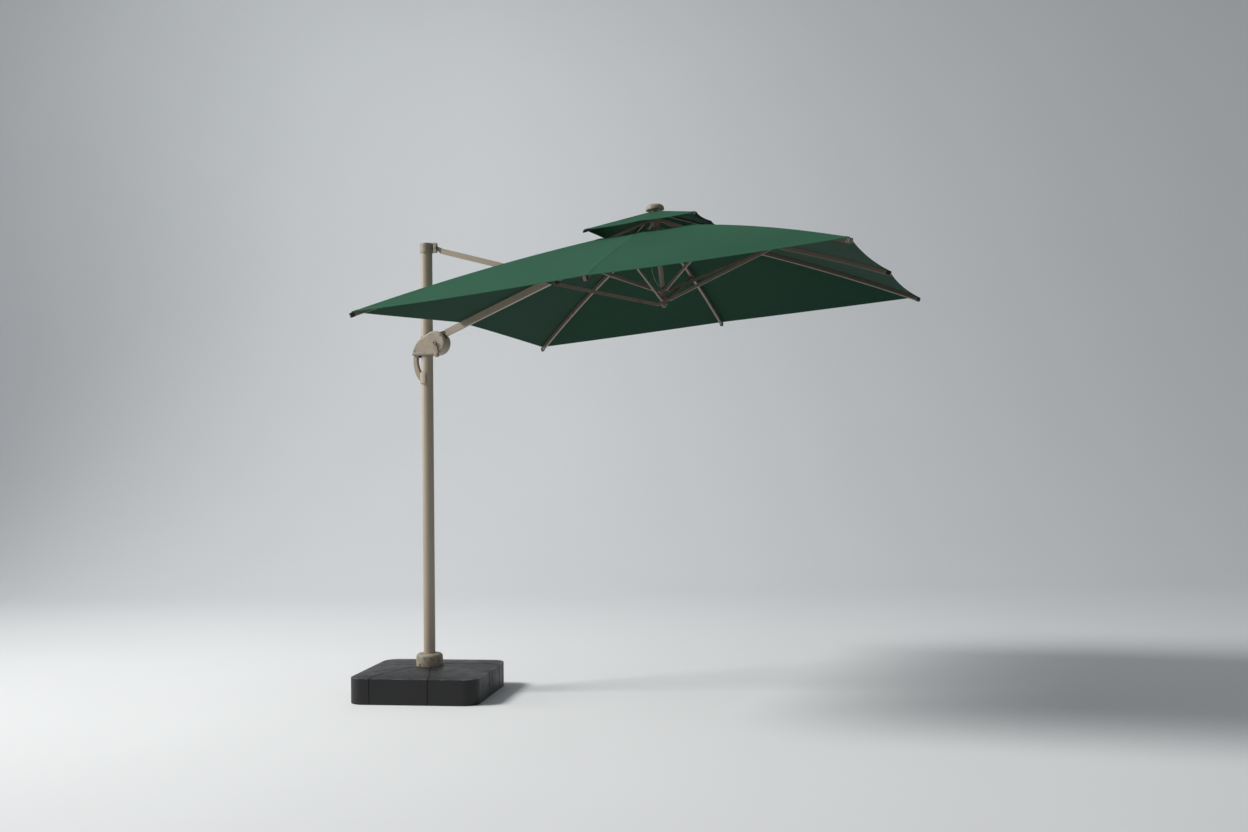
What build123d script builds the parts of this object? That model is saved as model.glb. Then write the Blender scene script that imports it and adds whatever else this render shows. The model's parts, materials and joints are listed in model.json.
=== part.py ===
from build123d import *
import math
import os

# Cantilever parasol: a square vented canopy hung from a boom on a swivelling mast.
# Millimetres. Origin: centre of the base's underside. +X runs out along the boom, +Z is up.
# "near" is the -Y side and "far" the +Y side; "left" is the mast side of the canopy.

# ---- driving dimensions: base and mast ----
BASE_SIDE = 749.0
BASE_CORNER = 85.0
BASE_EDGE = 145.0          # height of the straight sides
BASE_TOP = 168.0           # height of the low dome in the middle
BASE_TURN = 11.0           # the base stands turned under the boom, which swivels on it
BASE_WALL = 6.0
WELL_R = 62.0              # round well in the tank, for the spindle
WELL_FLOOR, WELL_WALL = 3.0, 4.0
PLATE_T = 12.0             # floor plate of the spindle
GROOVE_W = 6.0
GROOVE_D = 4.0
MAST_R = 34.0
MAST_WALL = 2.5
MAST_FOOT = 177.0
MAST_TOP = 2646.0
COLLAR_R = 80.0
COLLAR_TOP = 240.0
SPINDLE_TOP = 420.0
SPINDLE_WALL = 4.0
CAP_FOOT, CAP_TOP, CAP_R = 2595.0, 2653.0, 38.0
CAP_PIN_R = 4.0
RUN = 0.08                 # radial running clearance on every pin and shaft
FIT = 0.02                 # radial clearance of a pin held fast in its hole
GAP = 0.5                  # between parts that only stand beside each other

# ---- driving dimensions: boom linkage, seen from the near side as (x, z) ----
HEAD_PIN = (60.0, 2628.0)      # upper strut on the mast cap
BOOM_SLOPE = 22.28             # degrees above level
BOOM_H, BOOM_W, BOOM_WALL = 38.0, 26.0, 2.5
BAR_H, BAR_W, BAR_WALL = 32.0, 18.0, 2.5
PIN_R = 5.0

# ---- driving dimensions: hub and canopy ----
HUB_X, HUB_Z, HUB_TILT = 1430.0, 2645.0, 5.0
HALF = 1250.0                  # half the canopy's side
HINGE_R, CROWN_Z = 40.0, -8.0  # rib pins on the crown, as (radius, height) in the hub's frame
CORNER_LIFT = 55.0             # corner ribs are pinned this much higher than the others
BOOM_DROP = 18.0               # the boom's pin sits lower than the rib pins
STRUT_L, STRUT_ANGLE = 620.0, 18.43
RIB_H, RIB_W, RIB_WALL = 22.0, 14.0, 1.5
MID_TIP, MID_BOW = (1244.0, -424.0), 28.0
CORNER_TIP, CORNER_BOW = (1764.0, -434.0), 28.0
STRUT_H, STRUT_W = 16.0, 10.0
RIB_PIN_R = 3.0
TONGUE = 7.0
FABRIC = 1.5
OPENING = 250.0                # half the side of the vent hole
VENT_HALF, VENT_APEX, VENT_DROP = 316.0, 104.0, 107.0
VENT_PIN = (56.0, 80.0)
VENT_PIN_R = 2.5
VENT_TONGUE = 6.0
CORE_R = 20.0                  # the crown's core, and the spacer tube that hangs from it
TUBE_R, TUBE_WALL = 14.0, 2.0
CHEEK = 3.0                    # thickness of the cheeks on the crown and runner
SIDE_PLAY = 0.8                # the cheeks stand this much further apart than what they hold

os.makedirs("parts", exist_ok=True)


def save(piece, name):
    piece.part.label = name
    export_step(piece.part, f"parts/{name}.step")


def group(*solids):
    """Several separate solids kept together as one piece."""
    with BuildPart() as bench:
        for solid in solids:
            add(solid)
    return bench


# ---- frames and points worked out from the driving dimensions ----
tilt = math.radians(HUB_TILT)
HUB_PLANE = Plane(
    origin=(HUB_X, 0, HUB_Z),
    x_dir=(math.cos(tilt), 0, math.sin(tilt)),
    z_dir=(-math.sin(tilt), 0, math.cos(tilt)),
)
SIDE = Plane.XZ                # local x is X, local y is Z, extrusions leave towards -Y


def radial_plane(azimuth):
    """Upright plane through the hub's axis: local x is the radius, local y the height."""
    turn = math.radians(azimuth)
    out = HUB_PLANE.x_dir * math.cos(turn) + HUB_PLANE.y_dir * math.sin(turn)
    return Plane(origin=HUB_PLANE.origin, x_dir=out, z_dir=out.cross(HUB_PLANE.z_dir))


def between(start, end, share):
    return (start[0] + (end[0] - start[0]) * share, start[1] + (end[1] - start[1]) * share)


RUNNER_DROP = 2 * STRUT_L * math.sin(math.radians(STRUT_ANGLE))
STRUT_REACH = STRUT_L * math.cos(math.radians(STRUT_ANGLE))
boom_pin_local = (-HINGE_R, CROWN_Z - BOOM_DROP)
BOOM_HUB_PIN = (
    HUB_X + boom_pin_local[0] * math.cos(tilt) - boom_pin_local[1] * math.sin(tilt),
    HUB_Z + boom_pin_local[0] * math.sin(tilt) + boom_pin_local[1] * math.cos(tilt),
)
knuckle_angle = math.radians(STRUT_ANGLE + HUB_TILT)
KNUCKLE = (
    BOOM_HUB_PIN[0] - STRUT_L * math.cos(knuckle_angle),
    BOOM_HUB_PIN[1] - STRUT_L * math.sin(knuckle_angle),
)
SLIDER_PIN = (HEAD_PIN[0], 2 * KNUCKLE[1] - HEAD_PIN[1])
boom_tan = math.tan(math.radians(BOOM_SLOPE))
BOOM_ABOVE_HUB_PIN = 20.0
BAR_ROOT_Z, BAR_SLOPE = 2612.0, 0.279


def boom_axis(x):
    return (x, BOOM_HUB_PIN[1] + BOOM_ABOVE_HUB_PIN - (BOOM_HUB_PIN[0] - x) * boom_tan)


def bar_axis(x):
    return (x, BAR_ROOT_Z - BAR_SLOPE * (x - HEAD_PIN[0]))


# ---- shared builders ----
def link(plane, start, end, height, thickness, offset=0.0, holes=(), hole_r=0.0):
    """A flat plate with round ends, from start to end, drilled at the given points."""
    length = math.dist(start, end)
    angle = math.degrees(math.atan2(end[1] - start[1], end[0] - start[0]))
    with BuildPart() as piece:
        with BuildSketch(plane.offset(offset)):
            with Locations(between(start, end, 0.5)):
                SlotCenterToCenter(length, height, rotation=angle)
            for hole in holes:
                with Locations(hole):
                    Circle(hole_r, mode=Mode.SUBTRACT)
        extrude(amount=thickness / 2, both=True)
    return piece.part


def block(plane, start, end, height, thickness, offset=0.0):
    """A square-ended bar from start to end."""
    length = math.dist(start, end)
    angle = math.degrees(math.atan2(end[1] - start[1], end[0] - start[0]))
    with BuildPart() as piece:
        with BuildSketch(plane.offset(offset)):
            with Locations(between(start, end, 0.5)):
                Rectangle(length, height, rotation=angle)
        extrude(amount=thickness / 2, both=True)
    return piece.part


def cross_pin(plane, at, radius, length, head=0.0, head_r=0.0):
    """A pin across the plane, with a low round head on each end."""
    with BuildPart() as piece:
        with BuildSketch(plane):
            with Locations(at):
                Circle(radius)
        extrude(amount=length / 2, both=True)
        if head:
            for side in (1, -1):
                with BuildSketch(plane.offset(side * (length + head) / 2)):
                    with Locations(at):
                        Circle(head_r)
                extrude(amount=head / 2, both=True)
    return piece.part


def box_tube(plane, start, end, height, width, wall):
    """A straight rectangular tube, open at both ends."""
    with BuildPart() as piece:
        with BuildLine(plane) as path:
            Line(start, end)
        across = Plane(origin=path.line @ 0, x_dir=plane.z_dir, z_dir=path.line % 0)
        with BuildSketch(across):
            Rectangle(width, height)
            Rectangle(width - 2 * wall, height - 2 * wall, mode=Mode.SUBTRACT)
        sweep(path=path.wires()[0])
    return piece.part


# =====================================================================================
# Base
# =====================================================================================
def tank(inset, foot):
    """The base's outline: a square with round corners and a low domed top, shrunk by inset."""
    side = BASE_SIDE - 2 * inset
    corner = BASE_CORNER - inset
    turn = Rotation(0, 0, BASE_TURN)
    floor_plane = Plane.XY.offset(foot)
    with BuildPart() as body:
        with BuildSketch(Plane(floor_plane.location * turn)):
            RectangleRounded(side, side, corner)
        extrude(amount=BASE_EDGE - inset - foot)
        sections = (
            (side, corner, BASE_EDGE - inset),
            (side * 0.66, corner, BASE_EDGE + 16.5 - inset),
            (side * 0.27, corner * 0.98, BASE_TOP - inset),
        )
        for size, radius, height in sections:
            with BuildSketch(Plane(Plane.XY.offset(height).location * turn)):
                RectangleRounded(size, size, radius)
        loft(ruled=False)
    return body.part


outer_tank = tank(0.0, 0.0)
skin_inside = tank(GROOVE_D, -5.0)

# the grooves of each side, as distances along it from its middle, seen from outside
GROOVES = {0: (-245.0, 94.0), 90: (-70.0, 180.0), 180: (-245.0, 57.0), 270: (-57.0, 245.0)}
with BuildPart() as groove_walls:
    for side_turn, places in GROOVES.items():
        with BuildSketch(Plane(Plane.XY.location * Rotation(0, 0, BASE_TURN + side_turn))):
            for place in places:
                edge = (place, -BASE_SIDE / 2 - 5)
                root = (place * 0.28, -COLLAR_R + 10)
                bend = (place, -BASE_SIDE / 2 + 30)
                with BuildLine() as seam:
                    Polyline(edge, bend, root)
                trace(seam.line, line_width=GROOVE_W)
    extrude(amount=BASE_TOP + 10)

with BuildPart() as base_shell:
    add(outer_tank)
    fillet(base_shell.part.edges().filter_by(Plane.XY).group_by(Axis.Z)[0], radius=4)
    add(tank(BASE_WALL, BASE_WALL), mode=Mode.SUBTRACT)
    with BuildSketch(Plane.XY.offset(BASE_WALL)):
        Circle(WELL_R + WELL_WALL)
    extrude(amount=BASE_TOP - 1.5 * BASE_WALL)
    with BuildSketch(Plane.XY.offset(WELL_FLOOR)):
        Circle(WELL_R)
    extrude(amount=BASE_TOP, mode=Mode.SUBTRACT)
    add(groove_walls.part - skin_inside, mode=Mode.SUBTRACT)
save(base_shell, "base_shell")

with BuildPart() as ballast_fill:
    add(tank(BASE_WALL + GAP, BASE_WALL + GAP))
    with BuildSketch(Plane.XY):
        Circle(WELL_R + WELL_WALL + GAP)
    extrude(amount=BASE_TOP + 10, mode=Mode.SUBTRACT)
save(ballast_fill, "ballast_fill")

# the collar hides the foot of the mast, and four screws in notches hold it to the tank
SCREW_TURNS = (-108, -62, 72, 118)
SCREW_R, SCREW_H = 6.0, 9.0
with BuildPart() as base_collar:
    with BuildSketch(Plane.XZ):
        with BuildLine():
            inner = MAST_R + 0.8
            foot = BASE_TOP + GAP
            shoulder = (COLLAR_R - 22, COLLAR_TOP)
            hip = (COLLAR_R - 3, COLLAR_TOP - 22)
            Polyline((inner, foot), (inner, COLLAR_TOP), shoulder)
            SagittaArc(shoulder, hip, 6)
            Polyline(hip, (COLLAR_R, foot), (COLLAR_R - 8, foot), (COLLAR_R - 12, COLLAR_TOP - 26),
                     (inner + 8, COLLAR_TOP - 10), (inner + 8, foot), (inner, foot))
        make_face()
    revolve(axis=Axis.Z)
    for turn in SCREW_TURNS:
        with BuildSketch(Plane.XY.offset(BASE_TOP)):
            with PolarLocations(COLLAR_R - 2, 1, start_angle=turn):
                Circle(SCREW_R + 1)
        extrude(amount=16, mode=Mode.SUBTRACT)
save(base_collar, "base_collar")

with BuildPart() as collar_screws:
    for turn in SCREW_TURNS:
        with BuildSketch(Plane.XY.offset(BASE_TOP + 1)):
            with PolarLocations(COLLAR_R - 2.5, 1, start_angle=turn):
                RegularPolygon(SCREW_R, 6)
        extrude(amount=SCREW_H)
save(collar_screws, "collar_screws")

# welded spindle: a plate on the well's floor, the post that the mast turns on, and its shoulder
SPINDLE_R = MAST_R - MAST_WALL - RUN
PLATE_FOOT = WELL_FLOOR + GAP
SHOULDER_T = 14.5
with BuildPart() as spindle:
    with BuildSketch(Plane.XY.offset(PLATE_FOOT)):
        Circle(WELL_R - 1)
    extrude(amount=PLATE_T)
    with BuildSketch(Plane.XY.offset(PLATE_FOOT)):
        Circle(SPINDLE_R)
    extrude(amount=SPINDLE_TOP - PLATE_FOOT)
    with BuildSketch(Plane.XY.offset(MAST_FOOT - GAP - SHOULDER_T)):
        Circle(MAST_R)
    extrude(amount=SHOULDER_T)
    with BuildSketch(Plane.XY.offset(PLATE_FOOT + PLATE_T)):
        Circle(SPINDLE_R - SPINDLE_WALL)
    extrude(amount=SPINDLE_TOP, mode=Mode.SUBTRACT)
save(spindle, "spindle")

# =====================================================================================
# Mast
# =====================================================================================
with BuildPart() as mast_tube:
    with BuildSketch(Plane.XY.offset(MAST_FOOT)):
        Circle(MAST_R)
        Circle(MAST_R - MAST_WALL, mode=Mode.SUBTRACT)
    extrude(amount=MAST_TOP - MAST_FOOT)
save(mast_tube, "mast_tube")

# plastic cap with two windowed ears that hold the upper strut's pin
EAR_OFFSET, EAR_T = 8.0, 4.0
EAR_CENTRE, EAR_SIZE = (45.0, 2624.0), (46.0, 58.0)
WINDOW_CENTRE, WINDOW_SIZE = (46.5, 2623.5), (12.0, 42.0)
with BuildPart() as mast_cap:
    with BuildSketch(Plane.XY.offset(CAP_FOOT)):
        Circle(CAP_R)
    extrude(amount=CAP_TOP - CAP_FOOT)
    fillet(mast_cap.part.edges().group_by(Axis.Z)[-1], radius=5)
    for side in (1, -1):
        with BuildSketch(SIDE.offset(side * EAR_OFFSET)):
            with Locations(EAR_CENTRE):
                RectangleRounded(*EAR_SIZE, 6)
            with Locations(WINDOW_CENTRE):
                RectangleRounded(*WINDOW_SIZE, 3, mode=Mode.SUBTRACT)
        extrude(amount=EAR_T / 2, both=True)
    with BuildSketch(Plane.XY.offset(CAP_FOOT - 1)):
        Circle(MAST_R + 0.05)
    extrude(amount=MAST_TOP - CAP_FOOT + 1.2, mode=Mode.SUBTRACT)
    with BuildSketch(SIDE):
        with Locations(HEAD_PIN):
            Circle(CAP_PIN_R + FIT)
    extrude(amount=30, both=True, mode=Mode.SUBTRACT)
save(mast_cap, "mast_cap")

mast_cap_pin = cross_pin(SIDE, HEAD_PIN, CAP_PIN_R, 2 * EAR_OFFSET + EAR_T + 0.4, head=2.5, head_r=6.5)
save(group(mast_cap_pin), "mast_cap_pin")

# =====================================================================================
# Upper strut
# =====================================================================================
FORK_ROOT_X, FORK_W, FORK_PLATE = 611.0, 40.0, 4.0
BAR_START, BAR_END = 100.0, 590.0
HEAD_EYE_R = 8.0
PLUG_L = 45.0
PLUG_PLAY = 0.6            # a plug is this much narrower than the tube it sits in
strut_bar = box_tube(SIDE, bar_axis(BAR_START), bar_axis(BAR_END), BAR_H, BAR_W, BAR_WALL)
save(group(strut_bar), "upper_strut_bar")

bar_inside_h = BAR_H - 2 * BAR_WALL - PLUG_PLAY
bar_inside_w = BAR_W - 2 * BAR_WALL - PLUG_PLAY
head_plug = block(SIDE, bar_axis(BAR_START - 1), bar_axis(BAR_START + PLUG_L), bar_inside_h, bar_inside_w)
root_plug = block(SIDE, bar_axis(BAR_END - PLUG_L), bar_axis(BAR_END + 12), bar_inside_h, bar_inside_w)
fork_root = block(SIDE, bar_axis(BAR_END + 0.2), bar_axis(FORK_ROOT_X + 20), 26, FORK_W)
fork_plates = [
    link(SIDE, KNUCKLE, bar_axis(FORK_ROOT_X), 24, FORK_PLATE, offset=side * (FORK_W - FORK_PLATE) / 2,
         holes=[KNUCKLE], hole_r=PIN_R + RUN)
    for side in (1, -1)
]
bar_lean = math.atan(BAR_SLOPE)
bar_root = bar_axis(BAR_START - 0.3)
root_rise = (math.sin(bar_lean) * BAR_H / 2, math.cos(bar_lean) * BAR_H / 2)
with BuildPart() as strut_head:
    with BuildSketch(SIDE):
        with Locations(HEAD_PIN):
            Circle(HEAD_EYE_R)
        with BuildLine():
            Polyline(
                (HEAD_PIN[0], HEAD_PIN[1] + HEAD_EYE_R),
                (HEAD_PIN[0], HEAD_PIN[1] - HEAD_EYE_R),
                (bar_root[0] - root_rise[0], bar_root[1] - root_rise[1]),
                (bar_root[0] + root_rise[0], bar_root[1] + root_rise[1]),
                close=True,
            )
        make_face()
        with Locations(HEAD_PIN):
            Circle(CAP_PIN_R + RUN, mode=Mode.SUBTRACT)
    extrude(amount=5.0, both=True)
    add(head_plug)

with BuildPart() as strut_fork:
    add(fork_root)
    add(root_plug)
    for plate in fork_plates:
        add(plate)
save(group(strut_head.part, strut_fork.part), "upper_strut_ends")

# =====================================================================================
# Boom
# =====================================================================================
TUBE_LOW_X, TUBE_HIGH_X = 128.0, 1300.0
BOOM_TONGUE = 13.0
boom_tube = box_tube(SIDE, boom_axis(TUBE_LOW_X), boom_axis(TUBE_HIGH_X), BOOM_H, BOOM_W, BOOM_WALL)
save(group(boom_tube), "boom_tube")

boom_inside_h = BOOM_H - 2 * BOOM_WALL - PLUG_PLAY
boom_inside_w = BOOM_W - 2 * BOOM_WALL - PLUG_PLAY
low_plate = link(SIDE, SLIDER_PIN, boom_axis(TUBE_LOW_X + 42), 16, BOOM_TONGUE, holes=[SLIDER_PIN],
                 hole_r=PIN_R + RUN)
low_plug = block(SIDE, boom_axis(TUBE_LOW_X + 14), boom_axis(TUBE_LOW_X + 67), boom_inside_h, boom_inside_w)
high_plate = link(SIDE, BOOM_HUB_PIN, boom_axis(TUBE_HIGH_X - 15), 24, BOOM_TONGUE,
                  holes=[BOOM_HUB_PIN], hole_r=PIN_R + RUN)
high_plug = block(SIDE, boom_axis(TUBE_HIGH_X - 60), boom_axis(TUBE_HIGH_X - 2), boom_inside_h,
                  boom_inside_w)
with BuildPart() as boom_low_end:
    add(low_plate)
    add(low_plug)
with BuildPart() as boom_high_end:
    add(high_plate)
    add(high_plug)
save(group(boom_low_end.part, boom_high_end.part), "boom_end_fittings")

# a saddle riveted to the boom's sides carries the knuckle pin of both struts
SADDLE_T = 2.4
knuckle_foot = boom_axis(KNUCKLE[0] + 13)
saddle_sides = [
    link(SIDE, knuckle_foot, KNUCKLE, 24, SADDLE_T, offset=side * (BOOM_W + SADDLE_T) / 2,
         holes=[KNUCKLE], hole_r=PIN_R + FIT)
    for side in (1, -1)
]
strut_side = (STRUT_W + SIDE_PLAY) / 2
with BuildPart() as saddle_rings:
    for side in (1, -1):
        with BuildSketch(SIDE.offset(side * (strut_side + BOOM_W / 2) / 2)):
            with Locations(KNUCKLE):
                Circle(9)
                Circle(PIN_R + FIT, mode=Mode.SUBTRACT)
        extrude(amount=(BOOM_W / 2 - strut_side) / 2, both=True)
with BuildPart() as boom_bracket:
    for plate in saddle_sides:
        add(plate)
    add(saddle_rings.part)
save(boom_bracket, "boom_bracket")

knuckle_pin = cross_pin(SIDE, KNUCKLE, PIN_R, 41.0, head=4.0, head_r=8.5)
slider_pin = cross_pin(SIDE, SLIDER_PIN, PIN_R, 26.0)
save(group(knuckle_pin), "knuckle_bolt")

# =====================================================================================
# Slider: carriage, casing halves, drum, crank and trigger. Heights are from the boom's pin.
# =====================================================================================
ZS = SLIDER_PIN[1]
SLIDE_PLANE = Plane(origin=(0, 0, ZS), x_dir=(1, 0, 0), z_dir=(0, -1, 0))
CASE_HALF, CASE_WALL = 46.0, 3.5
DRUM = (74.0, -52.0)
HOUSING, HOUSING_R = (63.0, -52.0), 70.0
CHANNEL_R = MAST_R + 5.5
GRIP_HALF = 15.0
FOOT_LOW, FOOT_H = -288.0, 64.0
PARTING = 0.15                 # each casing half stops this far from the middle plane
CRANK_REACH = (22.0, -75.0)
ARM_T = 6.0
CASE_BOLTS = ((104, -8), (116, -84), (-58, -96))
AXLE_R = 5.0
KNOB_R, KNOB_L, KNOB_PIN_R = 12.0, 27.0, 3.5


def head_sketch(half, size):
    """The casing's head from the side: a drum housing running into a brow over the handle."""
    def at(x, z):
        return (HOUSING[0] + (x - HOUSING[0]) * size, HOUSING[1] + (z - HOUSING[1]) * size)

    top = at(HOUSING[0], HOUSING[1] + HOUSING_R)
    low = at(HOUSING[0], HOUSING[1] - HOUSING_R)
    brow = at(-80, HOUSING[1] - HOUSING_R)
    with BuildSketch(SLIDE_PLANE.offset(half)) as outline:
        with BuildLine():
            Spline(top, at(22, 4), at(-10, -15), at(-48, -43), at(-71, -83), brow,
                   tangents=((-1, 0), (0, -1)))
            Line(brow, low)
            ThreePointArc(low, at(HOUSING[0] + HOUSING_R, HOUSING[1]), top)
        make_face()
    return outline.sketch


CAVITY_HALF = CASE_HALF - CASE_WALL
cavity_outline = head_sketch(CAVITY_HALF, 1 - CASE_WALL / HOUSING_R)
casing_outline = head_sketch(CASE_HALF, 1.0)
with BuildPart() as cavity:
    extrude(cavity_outline, amount=2 * CAVITY_HALF, dir=(0, 1, 0))

with BuildPart() as casing:
    extrude(casing_outline, amount=2 * CASE_HALF, dir=(0, 1, 0))
    fillet(casing.part.faces().sort_by(Axis.Y)[-1].edges(), radius=9)
    fillet(casing.part.faces().sort_by(Axis.Y)[0].edges(), radius=9)
    # the grip: a bar that hangs from the brow and comes back to the mast in a half-round foot
    with BuildSketch(SLIDE_PLANE):
        with BuildLine():
            Spline((-80, -116), (-83, -140), (-83, -168), (-75, -212), (-56, -254), (-30, -284))
            Polyline((-30, -284), (-30, -226), (-45, -218))
            Spline((-45, -218), (-60, -176), (-62, -140), (-50, -116))
            Line((-50, -116), (-80, -116))
        make_face()
    extrude(amount=GRIP_HALF, both=True)
    with BuildSketch(Plane.XY.offset(ZS + FOOT_LOW)):
        Circle(CHANNEL_R + 4)
        with Locations((48, 0)):
            Rectangle(80, 120, mode=Mode.SUBTRACT)
    extrude(amount=FOOT_H)
    add(cavity.part, mode=Mode.SUBTRACT)
    with BuildSketch(Plane.XY.offset(ZS + FOOT_LOW - 12)):
        Circle(CHANNEL_R)
    extrude(amount=340, mode=Mode.SUBTRACT)
    # mouth for the boom, from its lowest to its folded position
    with BuildSketch(SLIDE_PLANE):
        with BuildLine():
            Polyline((44, -14), (78, -14), (112, -28), (150, -28), (170, 60), (44, 60), (44, -14))
        make_face()
    extrude(amount=15.5, both=True, mode=Mode.SUBTRACT)
    with BuildSketch(SLIDE_PLANE):
        with Locations((-44, -122)):
            Rectangle(20, 20)
    extrude(amount=10, both=True, mode=Mode.SUBTRACT)
    with BuildSketch(SLIDE_PLANE):
        with Locations(DRUM):
            Circle(9)
    extrude(amount=60, mode=Mode.SUBTRACT)

for name, side in (("slider_casing_near", -1), ("slider_casing_far", 1)):
    with BuildPart() as half:
        add(casing.part)
        with Locations((25, side * (PARTING - 100), ZS - 130)):
            Box(300, 200, 400, mode=Mode.SUBTRACT)
    save(half, name)

# carriage: a sleeve on the mast with two cheeks that hold the boom's pin and the drum's axle
with BuildPart() as slider_carriage:
    with BuildSketch(Plane.XY.offset(ZS - 112)):
        Circle(MAST_R + 4)
        Circle(MAST_R + 0.4, mode=Mode.SUBTRACT)
    extrude(amount=100)
    for side in (1, -1):
        with BuildSketch(SLIDE_PLANE.offset(side * 10.5)):
            with BuildLine():
                Polyline((36, -12), (48, 12), (72, 12), (88, -40), (88, -70), (36, -88), (36, -12))
            make_face()
            with Locations((SLIDER_PIN[0], 0)):
                Circle(PIN_R + FIT, mode=Mode.SUBTRACT)
            with Locations(DRUM):
                Circle(AXLE_R + RUN, mode=Mode.SUBTRACT)
        extrude(amount=2, both=True)
save(slider_carriage, "slider_carriage")
save(group(slider_pin), "slider_pin")

with BuildPart() as casing_bolts:
    for spot in CASE_BOLTS:
        with BuildSketch(SLIDE_PLANE.offset(CASE_HALF)):
            with Locations(spot):
                Circle(5)
        extrude(amount=1)
        with BuildSketch(SLIDE_PLANE.offset(CASE_HALF + 1)):
            with Locations(spot):
                Circle(5)
                RegularPolygon(2.4, 6, mode=Mode.SUBTRACT)
        extrude(amount=1.5)
save(casing_bolts, "casing_bolts")

with BuildPart() as cord_drum:
    with BuildSketch(SLIDE_PLANE):
        with Locations(DRUM):
            Circle(20)
    extrude(amount=6.5, both=True)
    for side in (1, -1):
        with BuildSketch(SLIDE_PLANE.offset(side * 6.8)):
            with Locations(DRUM):
                Circle(33)
        extrude(amount=1.2, both=True)
    with BuildSketch(SLIDE_PLANE.offset(-14)):
        with Locations(DRUM):
            Circle(AXLE_R)
    extrude(amount=14 + CASE_HALF + 12)
save(cord_drum, "cord_drum")

knob_at = (DRUM[0] + CRANK_REACH[0], DRUM[1] + CRANK_REACH[1])
ARM_Y = CASE_HALF + 6.5
with BuildPart() as crank_arm:
    add(link(SLIDE_PLANE, DRUM, knob_at, 15, ARM_T, offset=ARM_Y, holes=[DRUM], hole_r=AXLE_R + FIT))
    with BuildSketch(SLIDE_PLANE.offset(ARM_Y + ARM_T / 2)):
        with Locations(DRUM):
            Circle(12)
            Circle(AXLE_R + FIT, mode=Mode.SUBTRACT)
    extrude(amount=4)
    with BuildSketch(SLIDE_PLANE.offset(ARM_Y + ARM_T / 2)):
        with Locations(knob_at):
            Circle(KNOB_PIN_R)
    extrude(amount=KNOB_L + 3)
save(crank_arm, "crank_arm")

with BuildPart() as crank_knob:
    with BuildSketch(SLIDE_PLANE.offset(ARM_Y + ARM_T / 2 + 1)):
        with Locations(knob_at):
            Circle(KNOB_R)
            Circle(KNOB_PIN_R + RUN, mode=Mode.SUBTRACT)
    extrude(amount=KNOB_L)
    fillet(crank_knob.part.faces().sort_by(Axis.Y)[0].outer_wire().edges(), radius=4)
    fillet(crank_knob.part.faces().sort_by(Axis.Y)[-1].outer_wire().edges(), radius=2)
save(crank_knob, "crank_knob")

with BuildPart() as latch_trigger:
    with BuildSketch(SLIDE_PLANE):
        with Locations((-45.5, -121)):
            RectangleRounded(11, 26, 2)
    extrude(amount=8, both=True)
save(latch_trigger, "latch_trigger")

# =====================================================================================
# Hub: crown, spacer tube, finial
# =====================================================================================
AZIMUTHS = {
    "right_mid": 0, "far_right": 45, "far_mid": 90, "far_left": 135,
    "near_left": 225, "near_mid": 270, "near_right": 315,
}
CORNERS = {name: turn for name, turn in AZIMUTHS.items() if turn % 90 == 45}
CORNER_PIN = (HINGE_R, CROWN_Z + CORNER_LIFT)
MID_PIN = (HINGE_R, CROWN_Z)
BOOM_CROWN_PIN = (HINGE_R, CROWN_Z - BOOM_DROP)
CHEEK_ROOT = 8.0


def clevis(azimuth, pin_at, held, height, pin_r):
    """Two cheeks that stand out from the core to a pin, on both sides of a held tongue."""
    sides = []
    for side in (1, -1):
        sides.append(link(radial_plane(azimuth), (CHEEK_ROOT, pin_at[1]), pin_at, height, CHEEK,
                          offset=side * (held + SIDE_PLAY + CHEEK) / 2, holes=[pin_at],
                          hole_r=pin_r + FIT))
    return sides


def clevis_pin(azimuth, pin_at, held, pin_r):
    return cross_pin(radial_plane(azimuth), pin_at, pin_r, held + SIDE_PLAY + 2 * CHEEK + 1)


crown_cheeks = []
crown_pin_list = []
for name, turn in AZIMUTHS.items():
    pin_at = CORNER_PIN if name in CORNERS else MID_PIN
    crown_cheeks += clevis(turn, pin_at, TONGUE, 15, RIB_PIN_R)
    crown_pin_list.append(clevis_pin(turn, pin_at, TONGUE, RIB_PIN_R))
for turn in CORNERS.values():
    crown_cheeks += clevis(turn, VENT_PIN, VENT_TONGUE, 12, VENT_PIN_R)
    crown_pin_list.append(clevis_pin(turn, VENT_PIN, VENT_TONGUE, VENT_PIN_R))
crown_cheeks += clevis(180, BOOM_CROWN_PIN, BOOM_TONGUE, 22, PIN_R)
crown_pin_list.append(clevis_pin(180, BOOM_CROWN_PIN, BOOM_TONGUE, PIN_R))

CROWN_FOOT, SOCKET_TOP = -52.0, 7.0
with BuildPart() as crown:
    with BuildSketch(HUB_PLANE.offset(CROWN_FOOT)):
        Circle(CORE_R)
    extrude(amount=VENT_APEX - 4 - CROWN_FOOT)
    for cheek in crown_cheeks:
        add(cheek)
    with BuildSketch(HUB_PLANE.offset(CROWN_FOOT - 1)):
        Circle(TUBE_R + 0.05)
    extrude(amount=SOCKET_TOP - CROWN_FOOT + 1, mode=Mode.SUBTRACT)
save(crown, "crown")
save(group(*crown_pin_list), "crown_pins")

SPACER_END = -330.0
with BuildPart() as spacer_tube:
    with BuildSketch(HUB_PLANE.offset(SPACER_END)):
        Circle(TUBE_R)
        Circle(TUBE_R - TUBE_WALL, mode=Mode.SUBTRACT)
    extrude(amount=SOCKET_TOP - 1 - SPACER_END)
save(spacer_tube, "spacer_tube")

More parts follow.
